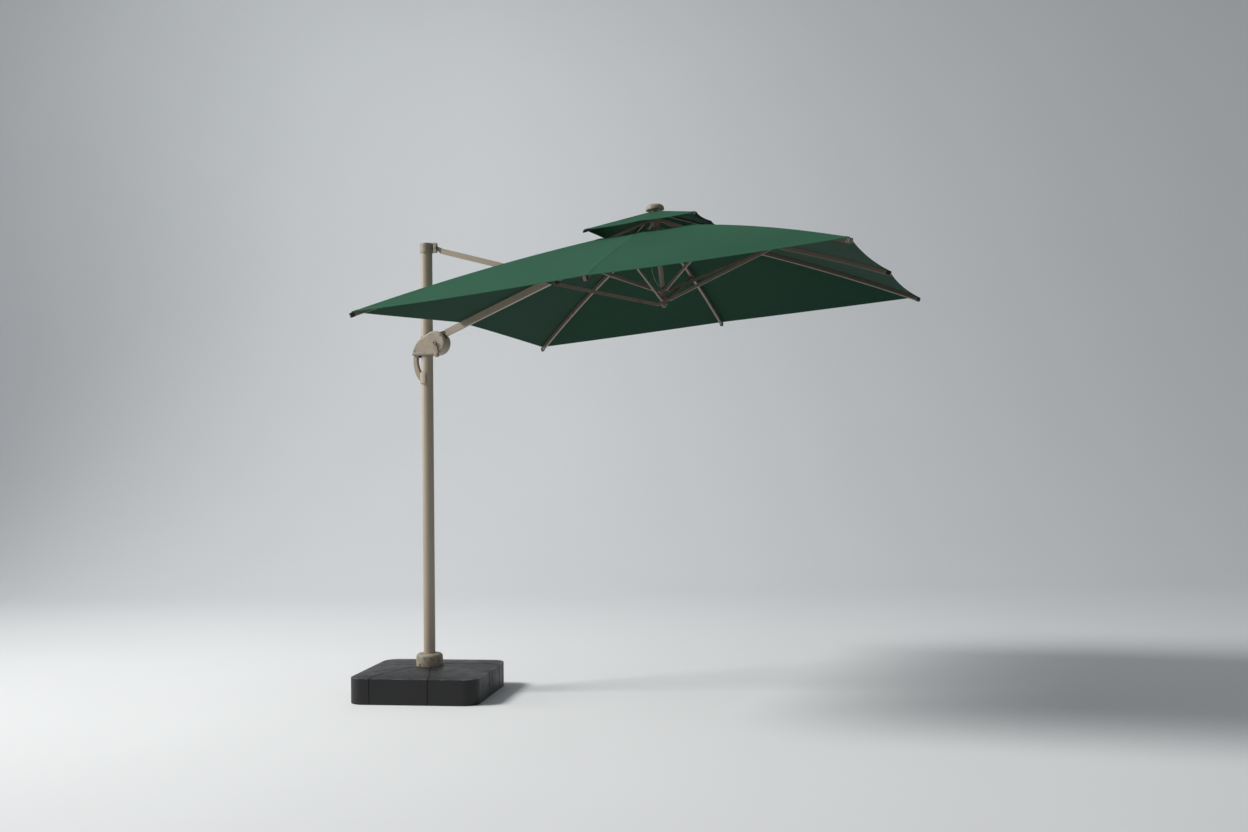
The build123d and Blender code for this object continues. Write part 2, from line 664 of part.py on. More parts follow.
FINIAL_R, FINIAL_FOOT, FINIAL_H = 52.0, 107.0, 31.0
FINIAL_STEM_R = 14.0
with BuildPart() as finial:
    with BuildSketch(HUB_PLANE.offset(FINIAL_FOOT)):
        Circle(FINIAL_R)
    extrude(amount=FINIAL_H)
    fillet(finial.edges().filter_by(GeomType.CIRCLE).sort_by(Axis.Z)[-1], radius=FINIAL_H - 7)
    fillet(finial.edges().filter_by(GeomType.CIRCLE).sort_by(Axis.Z)[0], radius=3)
    with BuildSketch(HUB_PLANE.offset(FINIAL_FOOT - 6)):
        Circle(FINIAL_STEM_R)
    extrude(amount=8)
save(finial, "finial")

# a thin loop of lift cord stands out beside the spacer tube: it leaves the crown's underside
# and goes back into the tube above the runner. Points are (radius, height) in the hub's frame.
CORD_R, CORD_TURN = 1.5, 203.0
CORD_ROUTE = ((17, -52), (18, -76), (30, -122), (45, -170), (50, -222), (42, -272), (27, -306), (13.2, -326))
cord_plane = radial_plane(CORD_TURN)
cord_points = [cord_plane.from_local_coords(Vector(*point, 0)) for point in CORD_ROUTE]
cord_radii = []
for before, point, after in zip(cord_points, cord_points[1:], cord_points[2:]):
    shorter = min((point - before).length, (after - point).length)
    half_turn = math.radians((point - before).get_angle(after - point) / 2)
    cord_radii.append(0.45 * shorter / math.tan(half_turn))
print("hub cord arc radii, mm:", [round(radius, 1) for radius in cord_radii])
with BuildPart() as hub_cord:
    with BuildLine() as cord_path:
        FilletPolyline(*cord_points, radius=cord_radii)
    with BuildSketch(Plane(origin=cord_path.line @ 0, z_dir=cord_path.line % 0)):
        Circle(CORD_R)
    sweep(path=cord_path.wires()[0])
save(hub_cord, "hub_cord")
cord_length = cord_path.wires()[0].length
cord_volume = math.pi * CORD_R**2 * cord_length
print("hub cord length, mm:", round(cord_length, 1))
print("hub cord volume over its section times its length:", round(hub_cord.part.volume / cord_volume, 4))

# =====================================================================================
# Ribs
# =====================================================================================
def rib_height(radius, tip, bow):
    """Height of a rib's centre line: a chord from the crown to the tip, bowed upwards."""
    share = (radius - HINGE_R) / (tip[0] - HINGE_R)
    return CROWN_Z + (tip[1] - CROWN_Z) * share + 4 * bow * share * (1 - share)


def rib_point(radius, tip, bow):
    return (radius, rib_height(radius, tip, bow))


def knee(corner):
    """Where a rib's strut is pinned under it."""
    pin_at = CORNER_PIN if corner else MID_PIN
    return (pin_at[0] + STRUT_REACH, pin_at[1] - RUNNER_DROP / 2)


def rib_tube(azimuth, tip, bow, start):
    plane = radial_plane(azimuth)
    middle = (start + tip[0]) / 2
    with BuildPart() as piece:
        with BuildLine(plane) as path:
            ThreePointArc(rib_point(start, tip, bow), rib_point(middle, tip, bow), rib_point(tip[0], tip, bow))
        across = Plane(origin=path.line @ 0, x_dir=plane.z_dir, z_dir=path.line % 0)
        with BuildSketch(across):
            Rectangle(RIB_W, RIB_H)
            Rectangle(RIB_W - 2 * RIB_WALL, RIB_H - 2 * RIB_WALL, mode=Mode.SUBTRACT)
        sweep(path=path.wires()[0])
    return piece.part


def rib_fittings(azimuth, corner, tip, bow, start):
    """The drilled tongue in the rib's inner end, its end cap, and the strut's bracket and pin."""
    plane = radial_plane(azimuth)
    inside_h, inside_w = RIB_H - 2 * RIB_WALL - 0.3, RIB_W - 2 * RIB_WALL - 0.3
    pin_at = CORNER_PIN if corner else MID_PIN
    plug_end = rib_point(start + 40, tip, bow)
    plug = block(plane, rib_point(start - 6, tip, bow), plug_end, inside_h - 1.5, inside_w)
    with BuildPart() as tongue:
        add(link(plane, pin_at, rib_point(start - 9, tip, bow), 15, TONGUE, holes=[pin_at],
                 hole_r=RIB_PIN_R + RUN))
        add(plug)
    end = rib_point(tip[0], tip, bow)
    before = rib_point(tip[0] - 10, tip, bow)
    step = between(before, end, 1.9)
    root = between(before, end, 1.01)
    inner = between(before, end, -1.2)
    with BuildPart() as cap:
        add(block(plane, root, between(before, end, 2.3), RIB_H, RIB_W + 2))
        fillet(cap.part.edges().filter_by(lambda e: abs(e.length - RIB_H) < 0.2), radius=2.5)
        add(block(plane, inner, step, inside_h - 1, inside_w))
    at = knee(corner)
    foot = rib_point(at[0] + 3, tip, bow)
    cheeks = [
        link(plane, foot, at, 15, 2.0, offset=side * (RIB_W / 2 + 1.05), holes=[at], hole_r=RIB_PIN_R + FIT)
        for side in (1, -1)
    ]
    return [tongue.part, cap.part, *cheeks, cross_pin(plane, at, RIB_PIN_R, RIB_W + 7, head=1.5, head_r=4.5)]


for name, turn in AZIMUTHS.items():
    corner = name in CORNERS
    tip, bow, start = (CORNER_TIP, CORNER_BOW, 340.0) if corner else (MID_TIP, MID_BOW, 80.0)
    fittings = rib_fittings(turn, corner, tip, bow, start)
    save(group(rib_tube(turn, tip, bow, start), *fittings), f"rib_{name}")

# =====================================================================================
# Struts and runner
# =====================================================================================
def runner_pin_at(pin_at):
    return (pin_at[0], pin_at[1] - RUNNER_DROP)


for name, turn in {**AZIMUTHS, "boom": 180}.items():
    pin_at = {True: CORNER_PIN, False: MID_PIN}[name in CORNERS]
    low_hole = RIB_PIN_R
    if name == "boom":
        pin_at = BOOM_CROWN_PIN
        low_hole = PIN_R
    upper = (pin_at[0] + STRUT_REACH, pin_at[1] - RUNNER_DROP / 2)
    lower = runner_pin_at(pin_at)
    with BuildPart() as strut:
        add(link(radial_plane(turn), lower, upper, STRUT_H + (3 if name == "boom" else 0), STRUT_W))
        with BuildSketch(radial_plane(turn)):
            with Locations(upper):
                Circle(low_hole + RUN)
            with Locations(lower):
                Circle(RIB_PIN_R + RUN)
        extrude(amount=STRUT_W, both=True, mode=Mode.SUBTRACT)
    save(strut, f"strut_{name}")

RUNNER_R, STUD_R, STUD_L = 18.0, 11.0, 12.0
RUNNER_TOP = SPACER_END - 1.0
RUNNER_FOOT = CROWN_Z - BOOM_DROP - RUNNER_DROP - 10.0
runner_cheeks = []
runner_pin_list = []
for name, turn in {**AZIMUTHS, "boom": 180}.items():
    pin_at = runner_pin_at(CORNER_PIN if name in CORNERS else MID_PIN)
    if name == "boom":
        pin_at = runner_pin_at(BOOM_CROWN_PIN)
    runner_cheeks += clevis(turn, pin_at, STRUT_W, 15, RIB_PIN_R)
    runner_pin_list.append(clevis_pin(turn, pin_at, STRUT_W, RIB_PIN_R))
with BuildPart() as runner:
    with BuildSketch(HUB_PLANE.offset(RUNNER_FOOT)):
        Circle(RUNNER_R)
    extrude(amount=RUNNER_TOP - RUNNER_FOOT)
    for cheek in runner_cheeks:
        add(cheek)
    with BuildSketch(HUB_PLANE.offset(RUNNER_FOOT - STUD_L)):
        Circle(STUD_R)
    extrude(amount=STUD_L + 1)
    fillet(runner.part.faces().sort_by(Axis.Z)[0].edges(), radius=5)
save(group(runner.part, *runner_pin_list), "runner")

# =====================================================================================
# Vent ribs
# =====================================================================================
VENT_ROD_R = 4.0
VENT_TIP = (VENT_HALF * math.sqrt(2) - 6, VENT_APEX - VENT_DROP - 7.0)
for name, turn in CORNERS.items():
    plane = radial_plane(turn)
    rod_start = between(VENT_PIN, VENT_TIP, 0.04)
    with BuildPart() as vent_rib:
        with BuildLine(plane) as rod:
            Line(rod_start, VENT_TIP)
        with BuildSketch(Plane(origin=rod.line @ 0, z_dir=rod.line % 0)):
            Circle(VENT_ROD_R)
        sweep(path=rod.wires()[0])
        add(link(plane, VENT_PIN, between(VENT_PIN, VENT_TIP, 0.07), 10, VENT_TONGUE, holes=[VENT_PIN],
                 hole_r=VENT_PIN_R + RUN))
        add(block(plane, between(VENT_PIN, VENT_TIP, 0.985), between(VENT_PIN, VENT_TIP, 1.02), 11, 11))
    save(vent_rib, f"vent_rib_{name}")

# =====================================================================================
# Fabric: one panel per rib, cut half way between the ribs
# =====================================================================================
BOOM_TOP_GAP, MID_GAP, CORNER_GAP = 1.0, 2.0, 4.2      # fabric above the boom and the ribs
SEAM_GAP = 0.6
SEAM = math.tan(math.radians(22.5))    # where two panels meet, as a share of the way to a corner
SLIT_START, SLIT_END, SLIT_WIDTH = 690.0, 930.0, 52.0
ROWS = 7
boom_local = [HUB_PLANE.to_local_coords(Vector(*p)) for p in (
    (boom_axis(200)[0], 0, boom_axis(200)[1]), (boom_axis(1200)[0], 0, boom_axis(1200)[1]))]


def boom_top(reach):
    """Height of the boom's upper face in the hub's frame, at a distance left of the hub's axis."""
    share = (-reach - boom_local[0].X) / (boom_local[1].X - boom_local[0].X)
    axis_height = boom_local[0].Z + (boom_local[1].Z - boom_local[0].Z) * share
    return axis_height + BOOM_H / 2 / math.cos(math.radians(BOOM_SLOPE - HUB_TILT)) + BOOM_TOP_GAP


def ridge(reach, turn):
    """Height of the fabric's underside over a rib, at a square distance from the hub's axis."""
    if turn == 180:
        return boom_top(reach)
    if turn % 90 == 45:
        return rib_height(reach * math.sqrt(2), CORNER_TIP, CORNER_BOW) + RIB_H / 2 + CORNER_GAP
    return rib_height(reach, MID_TIP, MID_BOW) + RIB_H / 2 + MID_GAP


def sheet_solid(rows, thickness):
    """A thin closed solid from rows of points, with flat triangles above, below and around."""
    up = HUB_PLANE.z_dir * thickness
    low = [[HUB_PLANE.from_local_coords(Vector(*p)) for p in row] for row in rows]
    high = [[p + up for p in row] for row in low]
    faces = []

    def triangle(a, b, c):
        faces.append(Face(Wire.make_polygon([a, b, c], close=True)))

    def quad(a, b, c, d):
        triangle(a, b, c)
        triangle(a, c, d)

    last_row, last = len(rows) - 1, len(rows[0]) - 1
    for i in range(last_row):
        for j in range(last):
            quad(low[i][j], low[i + 1][j], low[i + 1][j + 1], low[i][j + 1])
            quad(high[i][j], high[i][j + 1], high[i + 1][j + 1], high[i + 1][j])
        for j in (0, last):
            quad(low[i][j], high[i][j], high[i + 1][j], low[i + 1][j])
    for i in (0, last_row):
        for j in range(last):
            quad(low[i][j], low[i][j + 1], high[i][j + 1], high[i][j])
    return Solid(Shell(faces))


def turned(x, y, z, turn):
    a = math.radians(turn)
    return (x * math.cos(a) - y * math.sin(a), x * math.sin(a) + y * math.cos(a), z)


def half_gore(reach, turn, mid_turn, toward):
    """Points of one canopy row from a rib to the seam beside it, on the square side of mid_turn."""
    corner_turn = mid_turn + 45 * toward
    mid_h, corner_h = ridge(reach, mid_turn % 360), ridge(reach, corner_turn % 360)
    shares = (0.0, SEAM / 2, SEAM) if turn % 90 == 0 else (1.0, (1 + SEAM) / 2, SEAM)
    points = []
    for share in shares:
        across = toward * share * reach
        if share == SEAM:
            across += (-1 if turn % 90 == 0 else 1) * toward * SEAM_GAP
        height = mid_h + (corner_h - mid_h) * share
        points.append(turned(reach, across, height, mid_turn))
    return points


def petal(turn):
    rows = []
    for i in range(ROWS):
        reach = OPENING + (HALF - OPENING) * i / (ROWS - 1)
        if turn % 90 == 0:
            right = half_gore(reach, turn, turn, -1)
            left = half_gore(reach, turn, turn, 1)
        else:
            right = half_gore(reach, turn, turn - 45, 1)
            left = half_gore(reach, turn, turn + 45, -1)
        rows.append(right[::-1] + left[1:])
    return sheet_solid(rows, FABRIC)


for name, turn in {**AZIMUTHS, "boom": 180}.items():
    with BuildPart() as panel:
        add(petal(turn))
        if name == "boom":
            # the slit that the upper strut passes through on its way down to the boom
            with BuildSketch(Plane.XY.offset(KNUCKLE[1])):
                with Locations(((SLIT_START + SLIT_END) / 2, 0)):
                    SlotOverall(SLIT_END - SLIT_START, SLIT_WIDTH)
            extrude(amount=100, mode=Mode.SUBTRACT)
    save(panel, f"canopy_{name}")

VENT_EYE = 26.0
for name, turn in CORNERS.items():
    rows = []
    for i in range(3):
        reach = VENT_EYE + (VENT_HALF - VENT_EYE) * i / 2
        height = VENT_APEX - VENT_DROP * reach / VENT_HALF
        rows.append([
            turned(reach, SEAM_GAP, height, turn - 45),
            turned(reach, reach, height, turn - 45),
            turned(SEAM_GAP, reach, height, turn - 45),
        ])
    with BuildPart() as vent_panel:
        add(sheet_solid(rows, FABRIC))
    save(vent_panel, f"vent_{name}")
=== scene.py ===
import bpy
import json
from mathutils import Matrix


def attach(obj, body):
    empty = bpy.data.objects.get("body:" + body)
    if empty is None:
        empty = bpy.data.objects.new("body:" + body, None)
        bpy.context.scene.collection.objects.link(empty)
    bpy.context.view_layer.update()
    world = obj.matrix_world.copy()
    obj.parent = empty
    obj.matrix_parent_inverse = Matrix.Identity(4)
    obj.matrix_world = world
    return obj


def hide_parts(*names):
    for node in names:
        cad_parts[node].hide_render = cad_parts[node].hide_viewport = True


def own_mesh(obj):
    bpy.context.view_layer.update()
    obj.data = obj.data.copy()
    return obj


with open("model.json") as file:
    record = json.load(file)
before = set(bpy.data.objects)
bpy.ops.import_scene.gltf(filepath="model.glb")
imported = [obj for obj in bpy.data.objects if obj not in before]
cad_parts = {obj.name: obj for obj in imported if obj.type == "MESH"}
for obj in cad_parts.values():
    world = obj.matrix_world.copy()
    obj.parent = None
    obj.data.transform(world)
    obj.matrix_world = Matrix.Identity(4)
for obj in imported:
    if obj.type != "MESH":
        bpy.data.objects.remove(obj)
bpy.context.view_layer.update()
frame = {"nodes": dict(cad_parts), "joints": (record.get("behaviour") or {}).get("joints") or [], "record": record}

import json
import math

import bmesh
import bpy
from mathutils import Matrix, Vector

# Looks of a cantilever parasol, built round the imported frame. Metres, in the frame's own axes.

# ---- driving dimensions, the same as the CAD model's ----
HALF = 1.25                      # half the canopy's side
OPENING = 0.25                   # half the side of the vent hole
HINGE_R, CROWN_Z = 0.040, -0.008
RIB_H = 0.022
MID_TIP, MID_BOW = (1.244, -0.424), 0.028
CORNER_TIP, CORNER_BOW = (1.764, -0.434), 0.028
BOOM_SLOPE, BOOM_H, BOOM_ABOVE_HUB_PIN = 22.28, 0.038, 0.020
VENT_HALF, VENT_APEX, VENT_DROP, VENT_EYE = 0.316, 0.104, 0.107, 0.026
SLIT_START, SLIT_END, SLIT_WIDTH = 0.690, 0.930, 0.052

AZIMUTHS = {
    "right_mid": 0, "far_right": 45, "far_mid": 90, "far_left": 135,
    "near_left": 225, "near_mid": 270, "near_right": 315,
}
SEAM = math.tan(math.radians(22.5))   # where two gores meet, as a share of the way to a corner

# ---- the hub's frame, read from the ribs' hinges ----
joints = {joint["name"]: joint for joint in frame["joints"]}


def joint_at(name):
    return Vector(joints[name]["pos_m"])


ACROSS = Vector(joints["rib_right_mid_hinge"]["axis"])
OUT = -Vector(joints["rib_far_mid_hinge"]["axis"])
UP = OUT.cross(ACROSS)
HUB = (joint_at("rib_near_mid_hinge") + joint_at("rib_far_mid_hinge")) / 2 - UP * CROWN_Z


def hub_point(x, y, z):
    return HUB + OUT * x + ACROSS * y + UP * z


def turned(x, y, degrees):
    a = math.radians(degrees)
    return x * math.cos(a) - y * math.sin(a), x * math.sin(a) + y * math.cos(a)


# =====================================================================================
# Materials
# =====================================================================================
class Shader:
    """A material with one Principled shader and short calls for the nodes that feed it."""

    def __init__(self, name, roughness=0.5, metallic=0.0, **sockets):
        self.material = bpy.data.materials.new(name)
        self.material.use_nodes = True
        self.tree = self.material.node_tree
        self.bsdf = self.tree.nodes["Principled BSDF"]
        self.bsdf.inputs["Roughness"].default_value = roughness
        self.bsdf.inputs["Metallic"].default_value = metallic
        for socket, value in sockets.items():
            self.bsdf.inputs[socket.replace("_", " ")].default_value = value
        self.place = self.node("ShaderNodeTexCoord").outputs["Object"]
        self.normal = None

    def node(self, kind, **settings):
        made = self.tree.nodes.new(kind)
        for key, value in settings.items():
            setattr(made, key, value)
        return made

    def feed(self, socket, value):
        if hasattr(value, "is_output"):
            self.tree.links.new(value, socket)
        else:
            socket.default_value = value

    def scaled(self, x, y, z, vector=None):
        mapping = self.node("ShaderNodeMapping")
        self.feed(mapping.inputs["Vector"], vector or self.place)
        mapping.inputs["Scale"].default_value = (x, y, z)
        return mapping.outputs["Vector"]

    def noise(self, scale, detail=3.0, rough=0.5, vector=None):
        made = self.node("ShaderNodeTexNoise")
        self.feed(made.inputs["Vector"], vector or self.place)
        made.inputs["Scale"].default_value = scale
        made.inputs["Detail"].default_value = detail
        made.inputs["Roughness"].default_value = rough
        return made.outputs["Fac"]

    def cells(self, scale, vector=None):
        made = self.node("ShaderNodeTexVoronoi")
        self.feed(made.inputs["Vector"], vector or self.place)
        made.inputs["Scale"].default_value = scale
        return made.outputs["Distance"]

    def math(self, operation, a, b=0.0, c=0.0, clamp=False):
        made = self.node("ShaderNodeMath", operation=operation, use_clamp=clamp)
        for socket, value in zip(made.inputs, (a, b, c)):
            self.feed(socket, value)
        return made.outputs[0]

    def between(self, value, low, high, start=0.0, end=1.0):
        """Value from low to high turned into start to end, and held there outside."""
        made = self.node("ShaderNodeMapRange", interpolation_type="SMOOTHSTEP")
        for socket, number in zip(made.inputs, (value, low, high, start, end)):
            self.feed(socket, number)
        return made.outputs["Result"]

    def mix(self, share, a, b):
        made = self.node("ShaderNodeMix", data_type="RGBA")
        self.feed(made.inputs["Factor"], share)
        for name, colour in (("A", a), ("B", b)):
            socket = [s for s in made.inputs if s.name == name and s.type == "RGBA"][0]
            self.feed(socket, colour if hasattr(colour, "is_output") else (*colour, 1.0))
        return [s for s in made.outputs if s.type == "RGBA"][0]

    def bump(self, height, distance, strength=1.0):
        made = self.node("ShaderNodeBump")
        self.feed(made.inputs["Height"], height)
        made.inputs["Distance"].default_value = distance
        made.inputs["Strength"].default_value = strength
        if self.normal is not None:
            self.tree.links.new(self.normal, made.inputs["Normal"])
        self.normal = made.outputs["Normal"]
        return self

    def parts(self, vector=None):
        """The X, Y and Z of a place."""
        made = self.node("ShaderNodeSeparateXYZ")
        self.feed(made.inputs["Vector"], vector or self.place)
        return made.outputs

    def done(self, colour, roughness=None):
        self.feed(self.bsdf.inputs["Base Color"], colour)
        if roughness is not None:
            self.feed(self.bsdf.inputs["Roughness"], roughness)
        if self.normal is not None:
            self.feed(self.bsdf.inputs["Normal"], self.normal)
        return self.material


def shade(colour, factor):
    return tuple(channel * factor for channel in colour)


def powder_coat(name, colour, gloss=0.42):
    """Baked paint: fine orange peel, faint cloudiness, and rub marks along the length."""
    s = Shader(name, Specular_IOR_Level=0.5)
    clouds = s.noise(3.0, 4.0)
    speckle = s.noise(900.0, 2.0, 0.7)
    base = s.mix(clouds, shade(colour, 0.90), shade(colour, 1.08))
    base = s.mix(s.between(speckle, 0.35, 0.75, 0.0, 0.35), base, shade(colour, 1.3))
    rubs = s.noise(14.0, 6.0, 0.65, s.scaled(1, 1, 0.12))
    base = s.mix(s.between(rubs, 0.62, 0.74, 0.0, 0.30), base, shade(colour, 0.72))
    s.bump(s.noise(420.0, 2.0), 0.00010, 0.6)
    return s.done(base, s.between(rubs, 0.3, 0.75, gloss - 0.07, gloss + 0.14))


def moulded(name, colour, grain=700.0, gloss=0.5, mottle=0.14):
    """Injection-moulded plastic: a spark-eroded grain, blotches and small scuffs."""
    s = Shader(name, Specular_IOR_Level=0.45)
    blotches = s.noise(28.0, 6.0, 0.7)
    base = s.mix(s.between(blotches, 0.32, 0.68), shade(colour, 1 - mottle), shade(colour, 1 + mottle))
    scuffs = s.noise(90.0, 5.0, 0.8, s.scaled(1, 0.25, 1))
    base = s.mix(s.between(scuffs, 0.66, 0.74, 0.0, 0.4), base, shade(colour, 1.45))
    s.bump(s.noise(grain, 3.0, 0.6), 0.00018, 0.8)
    s.bump(s.noise(16.0, 2.0), 0.0006, 0.25)
    return s.done(base, s.between(blotches, 0.3, 0.7, gloss - 0.06, gloss + 0.12))


def tank_plastic(name, colour):
    """Blow-moulded charcoal plastic: pebbled grain, a top lightened by dusting and painted light, and pale edges
    that are partly wear and partly painted highlight.
    """
    s = Shader(name, Specular_IOR_Level=0.4)
    height = s.parts()[2]
    blotches = s.noise(9.0, 6.0, 0.65)
    base = s.mix(s.between(blotches, 0.3, 0.7), shade(colour, 0.8), shade(colour, 1.25))
    # Painted light on the dome's top: the top is lightened partly by dusting and partly by painted light from
    # above.
    dust_and_light_patches = s.between(s.noise(5.0, 5.0, 0.7), 0.35, 0.7)
    dust_and_painted_light = s.math("MULTIPLY", s.between(height, 0.135, 0.165), dust_and_light_patches)
    base = s.mix(s.math("MULTIPLY", dust_and_painted_light, 0.42), base, (0.085, 0.088, 0.09))
    # Pale top edges: partly wear, partly a painted highlight where the edge catches the light.
    rim = s.math("MULTIPLY", s.between(height, 0.1415, 0.1445), s.between(height, 0.1475, 0.1455))
    worn_and_highlit_edges = s.math("MULTIPLY", rim, s.between(s.noise(24.0, 6.0, 0.75), 0.42, 0.62))
    base = s.mix(s.math("MULTIPLY", worn_and_highlit_edges, 0.75), base, (0.16, 0.16, 0.16))
    scratch = s.noise(60.0, 4.0, 0.8, s.scaled(1.0, 0.2, 6.0))
    base = s.mix(s.between(scratch, 0.68, 0.76, 0.0, 0.5), base, (0.07, 0.07, 0.072))
    s.bump(s.cells(520.0), 0.00035, 0.5)
    s.bump(s.noise(11.0, 3.0), 0.0012, 0.3)
    return s.done(base, s.between(blotches, 0.3, 0.75, 0.44, 0.62))


def plated(name, colour, roughness=0.24):
    """Zinc or nickel plate: bright, a little cloudy, with fine turning marks."""
    s = Shader(name, metallic=1.0)
    clouds = s.noise(160.0, 4.0, 0.6)
    base = s.mix(clouds, shade(colour, 0.78), colour)
    s.bump(s.noise(1500.0, 2.0, 0.6, s.scaled(1, 0.15, 1)), 0.00005, 0.7)
    return s.done(base, s.between(clouds, 0.3, 0.7, roughness - 0.08, roughness + 0.12))


def rubbed_steel(name, colour):
    """Dark painted steel rubbed back to grey where the pieces slide."""
    s = Shader(name, metallic=0.35)
    wear = s.noise(45.0, 6.0, 0.75)
    base = s.mix(s.between(wear, 0.55, 0.70), colour, shade(colour, 2.1))
    s.bump(s.noise(380.0, 3.0), 0.00012, 0.7)
    return s.done(base, s.between(wear, 0.3, 0.7, 0.36, 0.58))


def canvas(name, colour):
    """Solution-dyed woven polyester: a plain weave, slubs, seams at the ribs and stitched hems."""
    s = Shader(name, roughness=0.88, Sheen_Weight=0.02, Sheen_Roughness=0.5, Specular_IOR_Level=0.12)
    uv = s.node("ShaderNodeUVMap", uv_map="UVMap").outputs["UV"]
    across, down, _ = s.parts(uv)
    ply = 2 * math.pi / 0.0011
    warp = s.math("SINE", s.math("MULTIPLY", across, ply))
    weft = s.math("SINE", s.math("MULTIPLY", down, ply))
    weave = s.math("MULTIPLY", warp, weft)
    slubs = s.noise(1.0, 4.0, 0.6, s.scaled(900.0, 40.0, 1.0, uv))
    clouds = s.noise(2.4, 5.0, 0.6)
    base = s.mix(clouds, shade(colour, 0.84), shade(colour, 1.16))
    base = s.mix(s.between(slubs, 0.35, 0.75, 0.0, 0.30), base, shade(colour, 1.35))
    base = s.mix(s.between(weave, -1.0, 1.0, 0.0, 0.22), base, shade(colour, 0.70))
    # two rows of stitches beside each rib's seam, and one along each hem
    from_seam = s.math("ABSOLUTE", across)
    rows = []
    stitched = ((from_seam, 0.0045, down), (from_seam, 0.0080, down), (down, 0.0165, across))
    for line, offset, along in stitched:
        near = s.between(s.math("ABSOLUTE", s.math("SUBTRACT", line, offset)), 0.0006, 0.0011, 1.0, 0.0)
        dash = s.between(s.math("SINE", s.math("MULTIPLY", along, 2 * math.pi / 0.0042)), -0.35, 0.05)
        rows.append(s.math("MULTIPLY", near, dash))
    stitches = s.math("MAXIMUM", s.math("MAXIMUM", rows[0], rows[1]), rows[2])
    base = s.mix(s.math("MULTIPLY", stitches, 0.45), base, shade(colour, 1.5))
    # Painted shade: faces that look down, the canopy's underside, are darkened towards 0.3 of the cloth's colour.
    facing = s.parts(s.place.node.outputs["Normal"])[2]
    base = s.mix(s.between(facing, -0.1, 0.1, 0.76, 0.0), base, shade(colour, 0.30))
    s.bump(s.math("ADD", weave, s.math("MULTIPLY", slubs, 1.2)), 0.00010, 0.55)
    s.bump(stitches, 0.0004, 0.6)
    s.bump(s.noise(7.0, 3.0, 0.5), 0.0020, 0.35)
    material = s.done(base)
    glow = s.node("ShaderNodeBsdfTranslucent")
    s.feed(glow.inputs["Color"], s.mix(clouds, shade(colour, 1.2), shade(colour, 1.7)))
    blend = s.node("ShaderNodeMixShader")
    blend.inputs["Fac"].default_value = 0.06
    s.tree.links.new(s.bsdf.outputs["BSDF"], blend.inputs[1])
    s.tree.links.new(glow.outputs["BSDF"], blend.inputs[2])
    s.tree.links.new(blend.outputs["Shader"], s.tree.nodes["Material Output"].inputs["Surface"])
    return material


def braid(name, colour):
    """Fine plaited polyester cord."""
    s = Shader(name, roughness=0.8)
    uv = s.node("ShaderNodeUVMap", uv_map="UVMap").outputs["UV"]
    twist = s.noise(1.0, 2.0, 0.5, s.scaled(260.0, 9.0, 1.0, uv))
    strands = s.cells(1100.0)
    s.bump(strands, 0.00035, 0.9)
    base = s.mix(s.between(strands, 0.1, 0.6), colour, shade(colour, 0.6))
    return s.done(s.mix(s.between(twist, 0.4, 0.7, 0.0, 0.4), base, shade(colour, 0.75)))


CHAMPAGNE = (0.335, 0.282, 0.215)
GREEN = (0.0220, 0.098, 0.055)
looks = {
    "base_plastic": tank_plastic("tank_plastic", (0.0125, 0.0125, 0.0135)),
    "ballast": moulded("filling", (0.30, 0.28, 0.22), gloss=0.8),
    "collar_plastic": moulded("beige_plastic", (0.262, 0.226, 0.170), mottle=0.30),
    "bright_steel": plated("plated_steel", (0.72, 0.71, 0.68)),
    "spindle_steel": rubbed_steel("dark_steel", (0.105, 0.088, 0.070)),
    "mast_paint": powder_coat("champagne_coat", CHAMPAGNE),
    "rib_paint": powder_coat("taupe_coat", (0.170, 0.134, 0.100), 0.33),
    "casing_plastic": moulded("taupe_plastic", (0.330, 0.280, 0.218), mottle=0.10),
    "dark_plastic": moulded("black_plastic", (0.020, 0.020, 0.021), gloss=0.4),
    "crank_metal": powder_coat("crank_coat", (0.260, 0.215, 0.165)),
    "canopy_cloth": canvas("green_canvas", GREEN),
    "cord_braid": braid("pale_braid", (0.62, 0.58, 0.48)),
}
node_slots = {part["node"]: part["material_slot"] for part in frame["record"]["subparts"]}
for node_name, node in frame["nodes"].items():
    node.data.materials.clear()
    node.data.materials.append(looks[node_slots[node_name]])


# =====================================================================================
# Camera
# =====================================================================================
CAMERA_AT = Vector((3.6919, -7.2052, 1.3978))
CAMERA_YAW, CAMERA_PITCH, CAMERA_ROLL = -18.91, 1.57, -0.67


def make_camera():
    yaw, pitch, roll = (math.radians(a) for a in (CAMERA_YAW, CAMERA_PITCH, CAMERA_ROLL))
    ahead = Vector((math.sin(yaw) * math.cos(pitch), math.cos(yaw) * math.cos(pitch), math.sin(pitch)))
    level = Vector((math.cos(yaw), -math.sin(yaw), 0.0))
    above = level.cross(ahead)
    right = level * math.cos(roll) + above * math.sin(roll)
    top = above * math.cos(roll) - level * math.sin(roll)
    data = bpy.data.cameras.new("camera")
    data.lens, data.sensor_width = 39.19, 36.0
    data.clip_end = 200.0
    camera = bpy.data.objects.new("camera", data)
    bpy.context.scene.collection.objects.link(camera)
    camera.matrix_world = Matrix.Translation(CAMERA_AT) @ Matrix((right, top, -ahead)).transposed().to_4x4()
    bpy.context.scene.camera = camera


make_camera()


# =====================================================================================
# Lift cord beside the spacer tube
# =====================================================================================
CORD_R, CORD_TURN, CORD_LENGTH = 0.0015, 203.0, 0.2854
CORD_ROUTE = (
    (0.017, -0.052), (0.018, -0.076), (0.030, -0.122), (0.045, -0.170),
    (0.050, -0.222), (0.042, -0.272), (0.027, -0.306), (0.0132, -0.326),
)


